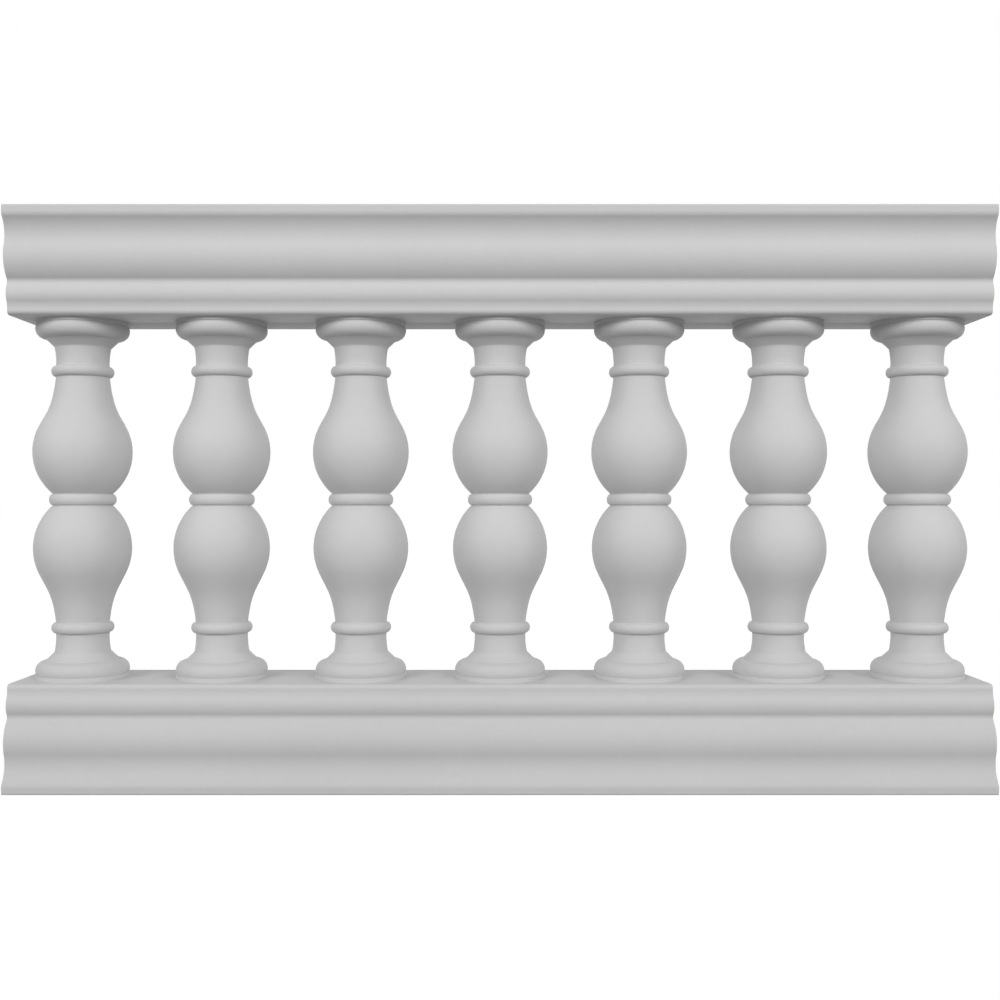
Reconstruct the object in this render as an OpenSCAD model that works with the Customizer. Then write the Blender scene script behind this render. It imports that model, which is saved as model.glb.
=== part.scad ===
// One section of a balustrade in moulded fibreglass. Two hollow moulded rails of
// one profile, the lower one turned over, hold seven hollow turned balusters.
// A threaded rod through each baluster clamps it between two steel channels that
// run inside the rails. A steel plate at each rail end bolts the section to a post.
//
// Origin: centre of the underside. X runs along the rails, the front faces -Y and
// Z is up. Lengths are millimetres.

/* [Section] */
// Length of both rails
rail_l = 1524; // [1270:1:1830]
// Clear height between the rails, which is the height of a baluster
clear_h = 571.5; // [470:0.5:690]
// From a rail's end to the axis of the baluster next to it
end_margin = 89; // [84:1:120]

/* [Rail moulding, widths] */
// Width of a rail over its widest member, the fillet at the outer edge
rail_w = 216.5; // [200:0.5:260]
// How far the hollow of the cove lies behind the fillet
cove_in = 12.75; // [8:0.25:16]
// How far the swell of the ogee lies behind the fillet
swell_in = 7.35; // [4:0.05:9]
// How far the valley under the ogee lies behind the fillet
valley_in = 22.65; // [18:0.05:26]
// How far the bead lies behind the fillet
bead_in = 17.45; // [15:0.05:20]
// How far the fascia at the narrow side lies behind the fillet
fascia_in = 23.25; // [20:0.05:27]

/* [Rail moulding, heights] */
// Height of the fascia, from the narrow face to the foot of the bead
fascia_h = 10; // [8:0.5:14]
// From the foot of the bead to its widest line
bead_foot_h = 23; // [18:0.5:28]
// From the widest line of the bead to the valley
bead_top_h = 18; // [14:0.5:22]
// From the valley to the widest line of the swell
swell_h = 38.7; // [32:0.1:46]
// From the widest line of the swell to the deepest line of the cove
cove_foot_h = 30.8; // [24:0.1:37]
// From the deepest line of the cove to the fillet
cove_top_h = 35; // [29:0.5:42]
// Height of the flat fillet at the wide face
fillet_h = 10.5; // [8:0.5:14]
// Radius of the bead
bead_r = 24; // [20:0.5:26]
// Radius of the swell
swell_r = 48.5; // [40:0.5:50]
// Radius of the cove
cove_r = 42; // [35:0.5:44]
// Radius of the eased edge at the narrow face
soffit_edge_r = 7; // [4:0.5:8]
// Radius of the eased edge at the wide face
top_edge_r = 3; // [1:0.5:4]
// Thickness of the moulded shell
rail_wall = 5; // [3:0.5:6.5]

/* [Closing plates] */
// Thickness of the plate that closes a rail's narrow side
closer_t = 8; // [6:0.5:10]
// Width of the shell's edge that shows beside the plate
closer_landing = 11; // [9:0.5:13]

/* [Balusters] */
// Diameter of the upper belly
upper_belly_d = 153.6; // [130:0.1:165]
// Height of the widest line of the upper belly above the middle ring
upper_belly_z = 76.5; // [62:0.5:84]
// Diameter of the lower belly
lower_belly_d = 152; // [130:0.1:165]
// Depth of the widest line of the lower belly below the middle ring
lower_belly_z = 78; // [62:0.5:84]
// Diameter of the middle ring
ring_d = 103.8; // [98:0.1:112]
// Height of the middle ring
ring_h = 18; // [14:0.5:22]
// Diameter at the crease on each side of the middle ring
crease_d = 91.6; // [84:0.1:94]
// Diameter of the small ring below the cap and above the base
astragal_d = 96.8; // [90:0.1:104]
// Height of the small ring
astragal_h = 17; // [13:0.5:20]
// From the rail to the middle of the small ring
astragal_drop = 80.25; // [76:0.25:96]
// Diameter of the shaft where it meets the small ring
shaft_d = 82.4; // [76:0.1:84]
// Smallest diameter of the neck
neck_d = 81.7; // [76:0.1:84]
// From the rail to the narrowest line of the neck
neck_drop = 66.75; // [65:0.25:69]
// Radius of the neck's flare
neck_flare_r = 130; // [110:1:160]
// Diameter of the cap and of the base
cap_d = 145; // [138:0.5:152]
// Radius of the rounded edge of the cap and of the base
torus_r = 15.5; // [13:0.5:17]
// From the rail to the widest line of the cap
torus_drop = 12.75; // [11:0.25:14]
// Thickness of the flat disc that bears on the rail
disc_h = 5.75; // [4:0.25:7]
// Diameter at the foot of the cap's sloping underside
slope_foot_d = 86.6; // [84:0.1:90]
// Thickness of a baluster's wall
baluster_wall = 5; // [3:0.5:6.5]
// Thickness of a baluster's closed ends
baluster_end_t = 8; // [6:0.5:10]

/* [Steel frame] */
// Diameter of the threaded rods
rod_d = 12; // [10:1:14]
// Clearance around a rod, on the radius
rod_gap = 0.5; // [0.3:0.1:1]
// Rod that stands out past its nut
rod_spare = 6; // [3:1:12]
// Width of the channels inside the rails
channel_w = 80; // [66:1:96]
// Height of the channels' flanges
channel_h = 40; // [34:1:48]
// Thickness of the channels
channel_t = 4; // [3:0.5:5]
// Radius on the inside of the channels' bends
channel_bend_r = 4; // [2:0.5:6]
// Thickness of the plates at the rail ends
plate_t = 6; // [5:0.5:8]
// Width of the plates at the rail ends
plate_w = 110; // [92:1:132]
// Height of the plates at the rail ends
plate_h = 120; // [104:1:124]
// Radius of the plates' corners
plate_corner_r = 8; // [2:1:14]
// Diameter of the holes in the end plates
bolt_hole_d = 11; // [9:0.5:13]
// Spacing of those holes across the rail
bolt_pitch_y = 70; // [58:1:84]
// Spacing of those holes up the rail
bolt_pitch_z = 44; // [36:1:52]
// Height of the holes' centre above the closing plate
bolt_centre_h = 78; // [74:1:84]

/* [Hidden] */
baluster_count = 7;
function numbered(stem, n) = [for (i = [1 : n]) str(stem, "_", i)];
ENDS = ["left", "right"];

gelcoat = [0.78, 0.78, 0.78];
zinc = [0.62, 0.64, 0.66];
arc_step = 6;
round_fn = 96;
rod_fn = 48;

// Heights of the moulding's lines above the rail's narrow face
bead_v = fascia_h + bead_foot_h;
valley_v = bead_v + bead_top_h;
swell_v = valley_v + swell_h;
cove_v = swell_v + cove_foot_h;
fillet_v = cove_v + cove_top_h;
rail_h = fillet_v + fillet_h;
top_z = rail_h + clear_h;

// Half widths of the moulding's lines
fillet_u = rail_w / 2;
cove_u = fillet_u - cove_in;
swell_u = fillet_u - swell_in;
valley_u = fillet_u - valley_in;
bead_u = fillet_u - bead_in;
fascia_u = fillet_u - fascia_in;
closer_w = 2 * (fascia_u - closer_landing);

// Places of the balusters and their rods
baluster_pitch = (rail_l - 2 * end_margin) / (baluster_count - 1);
baluster_xs = [for (i = [0 : baluster_count - 1])
    (i - (baluster_count - 1) / 2) * baluster_pitch];
half_h = clear_h / 2;
mid_z = rail_h + half_h;
rod_hole_r = rod_d / 2 + rod_gap;

// Proportions of standard hexagon nuts and plain washers, for a rod of any size
nut_h = 0.9 * rod_d;
nut_flats = 1.58 * rod_d;
washer_d = 2 * rod_d;
washer_h = 2.5;
thread_gap = 0.1;
nut_v = closer_t + channel_t + washer_h;
rod_l = clear_h + 2 * (nut_v + nut_h + rod_spare);
weld_nut_h = 8;
weld_nut_flats = 1.55 * bolt_hole_d;

// Points on a circle from angle a0 to angle a1
function arc(centre, r, a0, a1) =
    let (n = max(1, ceil(abs(a1 - a0) / arc_step)))
    [for (i = [0 : n])
        let (a = a0 + (a1 - a0) * i / n)
        centre + r * [cos(a), sin(a)]];

// The same points without any that lies on the one before it
function distinct(points) =
    [for (i = [0 : len(points) - 1])
        if (i == 0 || norm(points[i] - points[i - 1]) > 0.001) points[i]];

// Two arcs that meet in a smooth S, from the low point p to the high point q. Both
// ends run straight up. r_low is the radius at p where from_low is true, else at q.
// inset moves the whole line inwards, so that it gives the inside of a wall too.
function s_curve(p, q, r_set, from_low, inset) =
    let (
        s = sign(p[0] - q[0]),
        turn = 2 * atan(abs(q[0] - p[0]) / (q[1] - p[1])),
        both = (q[1] - p[1]) / sin(turn),
        r_low = from_low ? r_set : both - r_set,
        r_high = both - r_low,
        low = [p[0] - s * r_low, p[1]],
        high = [q[0] + s * r_high, q[1]]
    )
    concat(
        [for (a = arc([0, 0], r_low - s * inset, 0, turn)) low + [s * a[0], a[1]]],
        [for (a = arc([0, 0], r_high + s * inset, turn, 0)) high - [s * a[0], a[1]]]
    );

// One side of the rail moulding, from the fascia up to the fillet
function moulding(inset) = concat(
    s_curve([fascia_u, fascia_h], [bead_u, bead_v], bead_r, false, inset),
    s_curve([bead_u, bead_v], [valley_u, valley_v], bead_r, true, inset),
    s_curve([valley_u, valley_v], [swell_u, swell_v], swell_r, false, inset),
    s_curve([swell_u, swell_v], [cove_u, cove_v], swell_r, true, inset),
    s_curve([cove_u, cove_v], [fillet_u, fillet_v], cove_r, true, inset)
);

// A list of points and its mirror image across the rail's centre plane
function both_sides(points) = distinct(concat(
    points,
    [for (i = [len(points) - 1 : -1 : 0]) [-points[i][0], points[i][1]]]
));

rail_outside = concat(
    arc([fascia_u - soffit_edge_r, soffit_edge_r], soffit_edge_r, -90, 0),
    moulding(0),
    arc([fillet_u - top_edge_r, rail_h - top_edge_r], top_edge_r, 0, 90)
);

rail_inside = concat(
    [[closer_w / 2, -1], [closer_w / 2, closer_t]],
    moulding(rail_wall),
    [[fillet_u - rail_wall, rail_h - rail_wall]]
);

// A point on the cubic curve with end points p0, p3 and handles p1, p2
function bezier(p0, p1, p2, p3, t) =
    pow(1 - t, 3) * p0 + 3 * pow(1 - t, 2) * t * p1
    + 3 * (1 - t) * t * t * p2 + pow(t, 3) * p3;

// A ring of half-round section. It stands out from root_r to tip_r.
function ring(root_r, tip_r, z, h) =
    [for (a = [0 : 15 : 180]) [root_r + (tip_r - root_r) * sin(a), z - h / 2 * cos(a)]];

// The belly's round: it passes the crease beside the ring and its own widest line
belly_end = 25;
function belly_r(d, z) =
    let (bulge = (d - crease_d) / 2, rise = z - ring_h / 2)
    (rise * rise + bulge * bulge) / (2 * bulge);

// The curve of the shoulder, from the end of the belly's round to the small ring.
// lean gives the lengths of its two handles as shares of its height.
shoulder_top = [shaft_d / 2, half_h - astragal_drop - astragal_h / 2];
shaft_lean = [-0.11, 0.994];
function shoulder(d, z, lean) =
    let (
        r = belly_r(d, z),
        start = [d / 2 - r, z] + r * [cos(belly_end), sin(belly_end)],
        rise = shoulder_top[1] - start[1],
        handle = lean[0] * rise * [-sin(belly_end), cos(belly_end)]
    )
    [for (i = [1 : 12])
        bezier(start, start + handle, shoulder_top - lean[1] * rise * shaft_lean,
               shoulder_top, i / 12)];

// The outside of half a baluster, from the edge of the middle ring to the rail
torus_z = half_h - torus_drop;
torus_u = cap_d / 2 - torus_r;
slope_top = [torus_u - 0.5, torus_z - torus_r];
slope_foot = [slope_foot_d / 2, slope_top[1] - (slope_top[0] - slope_foot_d / 2)];
neck_z = half_h - neck_drop;
flare_c = [neck_d / 2 + neck_flare_r, neck_z];
flare_end = asin((slope_foot[1] - neck_z) / neck_flare_r);
disc_a = asin((torus_drop - disc_h) / torus_r);

function baluster_side(d, z, lean) =
    let (r = belly_r(d, z))
    concat(
        arc([d / 2 - r, z], r, asin((ring_h / 2 - z) / r), 0),
        arc([d / 2 - r, z], r, 0, belly_end),
        shoulder(d, z, lean),
        ring(shaft_d / 2, astragal_d / 2, half_h - astragal_drop, astragal_h),
        [for (i = [0 : 5]) flare_c - neck_flare_r * [cos(flare_end * i / 5),
                                                     -sin(flare_end * i / 5)]],
        [slope_foot],
        arc([torus_u, torus_z], torus_r, -90, disc_a),
        [[cap_d / 2, half_h - disc_h], [cap_d / 2, half_h]]
    );

// The hollow of half a baluster. The slope of the shoulder takes a wider step
// inwards than the wall is thick, and so does the sloping underside of the cap.
slope_factor = 1.1;
function baluster_hollow(d, z, lean) =
    let (
        r = belly_r(d, z),
        inner = crease_d / 2 - baluster_wall,
        foot_z = slope_foot[1] + baluster_wall * (sqrt(2) - 1),
        rim = cap_d / 2 - 1.3 * baluster_wall,
        rim_z = foot_z + rim - (slope_foot_d / 2 - baluster_wall)
    )
    concat(
        [[inner, 0]],
        arc([d / 2 - r, z], r - baluster_wall,
            -acos((inner - d / 2 + r) / (r - baluster_wall)), belly_end - 2),
        [for (p = shoulder(d, z, lean)) p - [slope_factor * baluster_wall, 0]],
        [[neck_d / 2 - baluster_wall, neck_z],
         [slope_foot_d / 2 - baluster_wall, foot_z],
         [rim, rim_z],
         [rim, half_h - baluster_end_t]]
    );

upper_lean = [0.29, 0.66];
lower_lean = [0.39, 0.56];
upper_side = baluster_side(upper_belly_d, upper_belly_z, upper_lean);
lower_side = baluster_side(lower_belly_d, lower_belly_z, lower_lean);
upper_hollow = baluster_hollow(upper_belly_d, upper_belly_z, upper_lean);
lower_hollow = baluster_hollow(lower_belly_d, lower_belly_z, lower_lean);

function backwards(points) = [for (i = [len(points) - 1 : -1 : 0]) points[i]];
function upside_down(points) = [for (p = points) [p[0], -p[1]]];

// The section of a baluster, up its outside and down again through its hollow
baluster_section = distinct(concat(
    [[rod_hole_r, -half_h]],
    backwards(upside_down(lower_side)),
    ring(crease_d / 2, ring_d / 2, 0, ring_h),
    upper_side,
    [[rod_hole_r, half_h], [rod_hole_r, half_h - baluster_end_t]],
    backwards(upper_hollow),
    upside_down(lower_hollow),
    [[rod_hole_r, baluster_end_t - half_h]]
));

// Puts what is drawn above a rail's narrow face into the top rail
module in_top_rail() {
    translate([0, 0, top_z]) children();
}

// The same, turned over into the bottom rail
module in_bottom_rail() {
    translate([0, 0, rail_h]) mirror([0, 0, 1]) children();
}

// A bar of the drawn section along X, centred on the origin
module bar_along_x(l) {
    rotate([90, 0, 90]) linear_extrude(height = l, center = true) children();
}

module rail_shell() {
    color(gelcoat) bar_along_x(rail_l) difference() {
        polygon(both_sides(rail_outside));
        polygon(both_sides(rail_inside));
    }
}

module rod_holes() {
    for (x = baluster_xs) {
        translate([x, 0, -1]) cylinder(h = closer_t + channel_t + 2, r = rod_hole_r, $fn = rod_fn);
    }
}

// The plate that closes a rail's narrow side, and on which the balusters bear
module closing_plate() {
    color(gelcoat) difference() {
        translate([-rail_l / 2, -closer_w / 2, 0]) cube([rail_l, closer_w, closer_t]);
        rod_holes();
    }
}

// Half of a channel's outline: a floor and an upright side with a bend between them
function bent_side(w, h, bend_r) =
    concat(arc([w / 2 - bend_r, bend_r], bend_r, -90, 0), [[w / 2, h]]);

// The channel lies on the closing plate, between the two end plates
module channel() {
    color(zinc) difference() {
        translate([0, 0, closer_t]) bar_along_x(rail_l - 2 * plate_t) difference() {
            polygon(both_sides(bent_side(channel_w, channel_h, channel_bend_r + channel_t)));
            translate([0, channel_t])
                polygon(both_sides(bent_side(channel_w - 2 * channel_t, channel_h, channel_bend_r)));
        }
        rod_holes();
    }
}

// The places of the bolts in an end plate, across the rail and above its narrow face
bolt_places = [for (y = [-1, 1], v = [-1, 1])
    [y * bolt_pitch_y / 2, closer_t + bolt_centre_h + v * bolt_pitch_z / 2]];

module plate_outline() {
    corner = [plate_w / 2 - plate_corner_r, closer_t + plate_h - plate_corner_r];
    polygon(both_sides(concat([[plate_w / 2, closer_t]], arc(corner, plate_corner_r, 0, 90))));
}

// An end plate stands on the closing plate and closes the end of the channel. Its
// outer face is flush with the shell's end, and a nut is welded behind each hole.
// It is drawn at the right-hand end and mirrored to the left.
module end_plate(end) {
    color(zinc) mirror([end == "left" ? 1 : 0, 0, 0])
        translate([rail_l / 2 - plate_t, 0, 0]) rotate([90, 0, 90]) difference() {
            union() {
                linear_extrude(height = plate_t) plate_outline();
                for (p = bolt_places) {
                    translate([p[0], p[1], -weld_nut_h])
                        cylinder(h = weld_nut_h, d = weld_nut_flats / cos(30), $fn = 6);
                }
            }
            for (p = bolt_places) {
                translate([p[0], p[1], -weld_nut_h - 1])
                    cylinder(h = plate_t + weld_nut_h + 2, d = bolt_hole_d, $fn = rod_fn);
            }
        }
}

module nuts() {
    color(zinc) for (x = baluster_xs) {
        translate([x, 0, nut_v]) difference() {
            cylinder(h = nut_h, d = nut_flats / cos(30), $fn = 6);
            translate([0, 0, -1]) cylinder(h = nut_h + 2, d = rod_d + 2 * thread_gap, $fn = rod_fn);
        }
    }
}

module washers() {
    color(zinc) for (x = baluster_xs) {
        translate([x, 0, nut_v - washer_h]) difference() {
            cylinder(h = washer_h, d = washer_d, $fn = rod_fn);
            translate([0, 0, -1]) cylinder(h = washer_h + 2, r = rod_hole_r, $fn = rod_fn);
        }
    }
}

module tie_rod(i) {
    color(zinc) translate([baluster_xs[i - 1], 0, mid_z])
        cylinder(h = rod_l, d = rod_d, center = true, $fn = rod_fn);
}

module baluster(i) {
    color(gelcoat) translate([baluster_xs[i - 1], 0, mid_z])
        rotate_extrude($fn = round_fn) polygon(baluster_section);
}

in_top_rail() rail_shell();  // top_rail
in_bottom_rail() rail_shell();  // bottom_rail
in_top_rail() closing_plate();  // top_rail_soffit
in_bottom_rail() closing_plate();  // bottom_rail_deck
for (i = [1 : baluster_count]) {
    baluster(i);
    tie_rod(i);
}
in_top_rail() channel();  // top_channel
in_bottom_rail() channel();  // bottom_channel
for (e = ENDS) {
    in_top_rail() end_plate(e);
    in_bottom_rail() end_plate(e);
}
in_top_rail() nuts();  // top_nuts
in_bottom_rail() nuts();  // bottom_nuts
in_top_rail() washers();  // top_washers
in_bottom_rail() washers();  // bottom_washers
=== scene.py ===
# %% [markdown]
# # A fibreglass balustrade
# One section of a garden or terrace balustrade. Two hollow rails of the same moulding hold seven
# hollow turned balusters, and steel hidden in the rails clamps it all together.
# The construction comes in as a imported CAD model, which this script never moves. Each step below
# puts a finished mesh or a finish in the place of one kind of CAD piece, at the same size.

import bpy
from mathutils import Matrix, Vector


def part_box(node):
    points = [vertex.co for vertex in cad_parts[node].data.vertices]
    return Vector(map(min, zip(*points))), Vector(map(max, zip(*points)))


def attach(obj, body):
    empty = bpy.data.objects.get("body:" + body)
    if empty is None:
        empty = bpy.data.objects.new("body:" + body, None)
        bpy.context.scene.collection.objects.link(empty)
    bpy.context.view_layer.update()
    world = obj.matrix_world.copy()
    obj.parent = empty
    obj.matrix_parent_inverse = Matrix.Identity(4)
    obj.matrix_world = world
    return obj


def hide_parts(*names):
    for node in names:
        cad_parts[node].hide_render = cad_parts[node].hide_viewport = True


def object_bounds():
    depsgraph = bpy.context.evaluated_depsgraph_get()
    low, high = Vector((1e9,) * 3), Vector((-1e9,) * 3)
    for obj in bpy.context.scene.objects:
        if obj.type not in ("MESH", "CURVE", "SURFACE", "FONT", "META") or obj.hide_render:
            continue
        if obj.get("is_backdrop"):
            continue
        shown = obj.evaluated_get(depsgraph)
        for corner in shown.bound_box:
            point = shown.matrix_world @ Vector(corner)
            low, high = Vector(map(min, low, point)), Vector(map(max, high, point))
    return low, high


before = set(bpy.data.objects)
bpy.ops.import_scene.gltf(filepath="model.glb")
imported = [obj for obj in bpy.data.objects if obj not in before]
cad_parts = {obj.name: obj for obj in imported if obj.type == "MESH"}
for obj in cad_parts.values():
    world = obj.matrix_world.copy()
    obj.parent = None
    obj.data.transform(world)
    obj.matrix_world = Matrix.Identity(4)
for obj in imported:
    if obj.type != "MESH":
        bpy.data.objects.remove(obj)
cad_low, cad_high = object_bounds()
print("CAD box, m:", [round(b - a, 4) for a, b in zip(cad_low, cad_high)])

# %% The modules that the script uses
import math

import bmesh
import bpy
import numpy as np
from mathutils import Matrix

# %% [markdown]
# ## The overall sizes
# On the real object one rail fixes the rest: the balusters stand between two of them, and the
# steel is cut to suit. They could be typed in again here, but the CAD model already holds them,
# so the lengths and levels are read from the boxes of the CAD nodes. Only the shape of the
# moulding and of the turning has values of its own, in metres.

# %% Lengths and levels from the frame
MM = 0.001
top_low, top_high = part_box("top_rail")
deck_low, deck_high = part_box("bottom_rail_deck")
rail_length = top_high.x - top_low.x
rail_height = top_high.z - top_low.z
fillet_half = top_high.y
under_side = top_low.z
deck_level = deck_high.z
clear_height = under_side - deck_level
middle = (under_side + deck_level) / 2
half = clear_height / 2
BALUSTERS = 7


def centre_x(node):
    """The place of a CAD node along the rails."""
    low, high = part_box(node)
    return (low.x + high.x) / 2


stations = [centre_x(f"baluster_{i + 1}") for i in range(BALUSTERS)]
print(f"rail {rail_length:.4f} long, {rail_height:.4f} high; balusters {clear_height:.4f} high")

# %% [markdown]
# ## Curves drawn by compass
# A moulding knife and a turner's template are both made of arcs. A Bezier curve object could
# draw them too, but arcs worked out in code meet exactly, keep their radius and can be offset
# by the thickness of a wall, which is just what a hollow moulding needs. Every helper
# below returns an array of points in the plane.

# %% Arcs and chains of arcs
ARC_STEP = 2.5


def arc(centre, radius, start, end):
    """Points on a circle from one angle to another, in degrees."""
    count = max(1, math.ceil(abs(end - start) / ARC_STEP - 1e-6))
    angles = np.radians(np.linspace(start, end, count + 1))
    return np.array(centre) + radius * np.column_stack([np.cos(angles), np.sin(angles)])


def chain(*runs):
    """Joins runs of points end to end. A point where two runs meet is kept once."""
    points = [np.array(runs[0], float)]
    for run in runs[1:]:
        run = np.array(run, float)
        meets = np.linalg.norm(run[0] - points[-1][-1]) < 1e-7
        points.append(run[1:] if meets else run)
    return np.vstack([p for p in points if len(p)])


def s_curve(low, high, radius, radius_is_low, inset):
    """Two arcs that meet in a smooth S and end upright. inset moves the line into the moulding."""
    side = math.copysign(1, low[0] - high[0])
    rise = high[1] - low[1]
    turn = 2 * math.atan(abs(high[0] - low[0]) / rise)
    both = rise / math.sin(turn)
    low_radius = radius if radius_is_low else both - radius
    high_radius = both - low_radius
    turn = math.degrees(turn)
    lower = arc((0, 0), low_radius - side * inset, 0, turn) * (side, 1)
    upper = arc((0, 0), high_radius + side * inset, turn, 0) * (side, 1)
    return chain(lower + (low[0] - side * low_radius, low[1]),
                 (high[0] + side * high_radius, high[1]) - upper)


# %% [markdown]
# ## The rail moulding
# Each rail is laid up in a mould: a fascia, a bead, a valley, the swell of an ogee, a cove and
# a square fillet, one above the other. u is the distance from the middle of the rail and v the
# height above its narrow face. The top rail stands on that face and the bottom rail hangs
# from it, so one moulding serves for both. The same chain of S curves, moved in by the
# thickness of the laminate, gives the inside of the wall.

# %% The lines of the moulding
fascia_u = fillet_half - 23.25 * MM
bead_u = fillet_half - 17.45 * MM
valley_u = fillet_half - 22.65 * MM
swell_u = fillet_half - 7.35 * MM
cove_u = fillet_half - 12.75 * MM
fascia_v = 10 * MM
bead_v = fascia_v + 23 * MM
valley_v = bead_v + 18 * MM
swell_v = valley_v + 38.7 * MM
cove_v = swell_v + 30.8 * MM
fillet_v = cove_v + 35 * MM
bead_radius = 24 * MM
swell_radius = 48.5 * MM
cove_radius = 42 * MM
soffit_edge = 7 * MM
top_edge = 3 * MM
wall = 5 * MM
plate_half = deck_high.y
plate_thick = deck_high.z - deck_low.z
inside_fillet = 4 * MM


def moulding(inset):
    """One side of the rail, from the fascia up to the fillet."""
    return chain(
        s_curve((fascia_u, fascia_v), (bead_u, bead_v), bead_radius, False, inset),
        s_curve((bead_u, bead_v), (valley_u, valley_v), bead_radius, True, inset),
        s_curve((valley_u, valley_v), (swell_u, swell_v), swell_radius, False, inset),
        s_curve((swell_u, swell_v), (cove_u, cove_v), swell_radius, True, inset),
        s_curve((cove_u, cove_v), (fillet_half, fillet_v), cove_radius, True, inset),
    )


# %% The wall as two lines with as many points each
def both_sides(line):
    """A line that ends on the rail's middle, and its mirror image, as one line."""
    return np.vstack([line, (line * (-1, 1))[-2::-1]])


def shell_lines(ease):
    """The outside and the inside of the wall. ease takes that much off every outer surface."""
    edge_centre = (fascia_u - soffit_edge, soffit_edge)
    corner = fillet_half - top_edge
    edge = arc(edge_centre, soffit_edge - ease, -90, 0)
    outside = np.vstack([
        [(plate_half + ease, ease)],
        edge,
        moulding(ease),
        arc((corner, rail_height - top_edge), top_edge - ease, 0, 90),
        [(0, rail_height - ease)],
    ])
    inset = wall - ease
    start = np.array((plate_half + ease, plate_thick))
    end = np.array((fascia_u - inset, fascia_v))
    share = np.linspace(0, 1, len(edge) + 2)[:-1, None]
    inner = fillet_half - wall - inside_fillet
    inside = np.vstack([
        start + (end - start) * share,
        moulding(inset),
        arc((inner, rail_height - wall - inside_fillet), inside_fillet + ease, 0, 90),
        [(0, rail_height - inset)],
    ])
    return both_sides(outside), both_sides(inside)


outer_line, inner_line = shell_lines(0)
assert len(outer_line) == len(inner_line)
print(f"moulding: {len(outer_line)} points outside, as many inside")

# %% [markdown]
# ## Skinning rings into a mesh
# A rail is one ring of points repeated along X, a baluster is one ring repeated around an axis,
# and a screw thread is a ring whose radius changes as it climbs. So a single helper that puts
# quads between neighbouring rings makes nearly every piece here. A curve with a bevel, or the
# Screw modifier, would make some of them, but not the eased edges and the helix.

# %% Rings to quads
def skin(rings, close_rings=True):
    """Vertices and quads between neighbouring rings of points. Each ring closes on itself."""
    rings = np.array(rings, float)
    count, around = rings.shape[:2]
    index = np.arange(count * around).reshape(count, around)
    following = np.roll(index, -1, axis=0)
    if not close_rings:
        index, following = index[:-1], following[:-1]
    quads = np.stack([index, np.roll(index, -1, axis=1),
                      np.roll(following, -1, axis=1), following], axis=-1)
    return rings.reshape(-1, 3), quads.reshape(-1, 4)


def mesh_from(name, vertices, faces):
    """A mesh of these vertices and faces. Its normals point outwards."""
    mesh = bpy.data.meshes.new(name)
    mesh.from_pydata([tuple(v) for v in vertices], [], [tuple(f) for f in faces])
    shape = bmesh.new()
    shape.from_mesh(mesh)
    bmesh.ops.remove_doubles(shape, verts=shape.verts, dist=1e-7)
    bmesh.ops.recalc_face_normals(shape, faces=shape.faces)
    shape.to_mesh(mesh)
    shape.free()
    return mesh


# %% Smooth where it is round, crisp at an edge
SHARP = math.radians(32)


def soften(mesh):
    """Smooth shading everywhere but across edges sharper than SHARP."""
    mesh.shade_smooth()
    mesh.set_sharp_from_angle(angle=SHARP)


def place(name, mesh, node, slot, *materials):
    """Puts a finished mesh in the scene instead of a CAD node. It rides on the root body."""
    for material in materials:
        mesh.materials.append(material)
    soften(mesh)
    piece = bpy.data.objects.new(name, mesh)
    bpy.context.scene.collection.objects.link(piece)
    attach(piece, "root")
    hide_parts(node)
    triangles = sum(len(p.vertices) - 2 for p in mesh.polygons)
    print(f"{name}: {triangles} triangles for {node}")


# %% [markdown]
# ## Building materials from nodes
# Each finish below is a small tree of nodes. All of them read the object's own coordinates, in
# metres, so a speckle of two millimetres is two millimetres on every piece and nothing
# needs to be unwrapped. These helpers keep the trees short enough to read.

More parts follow.
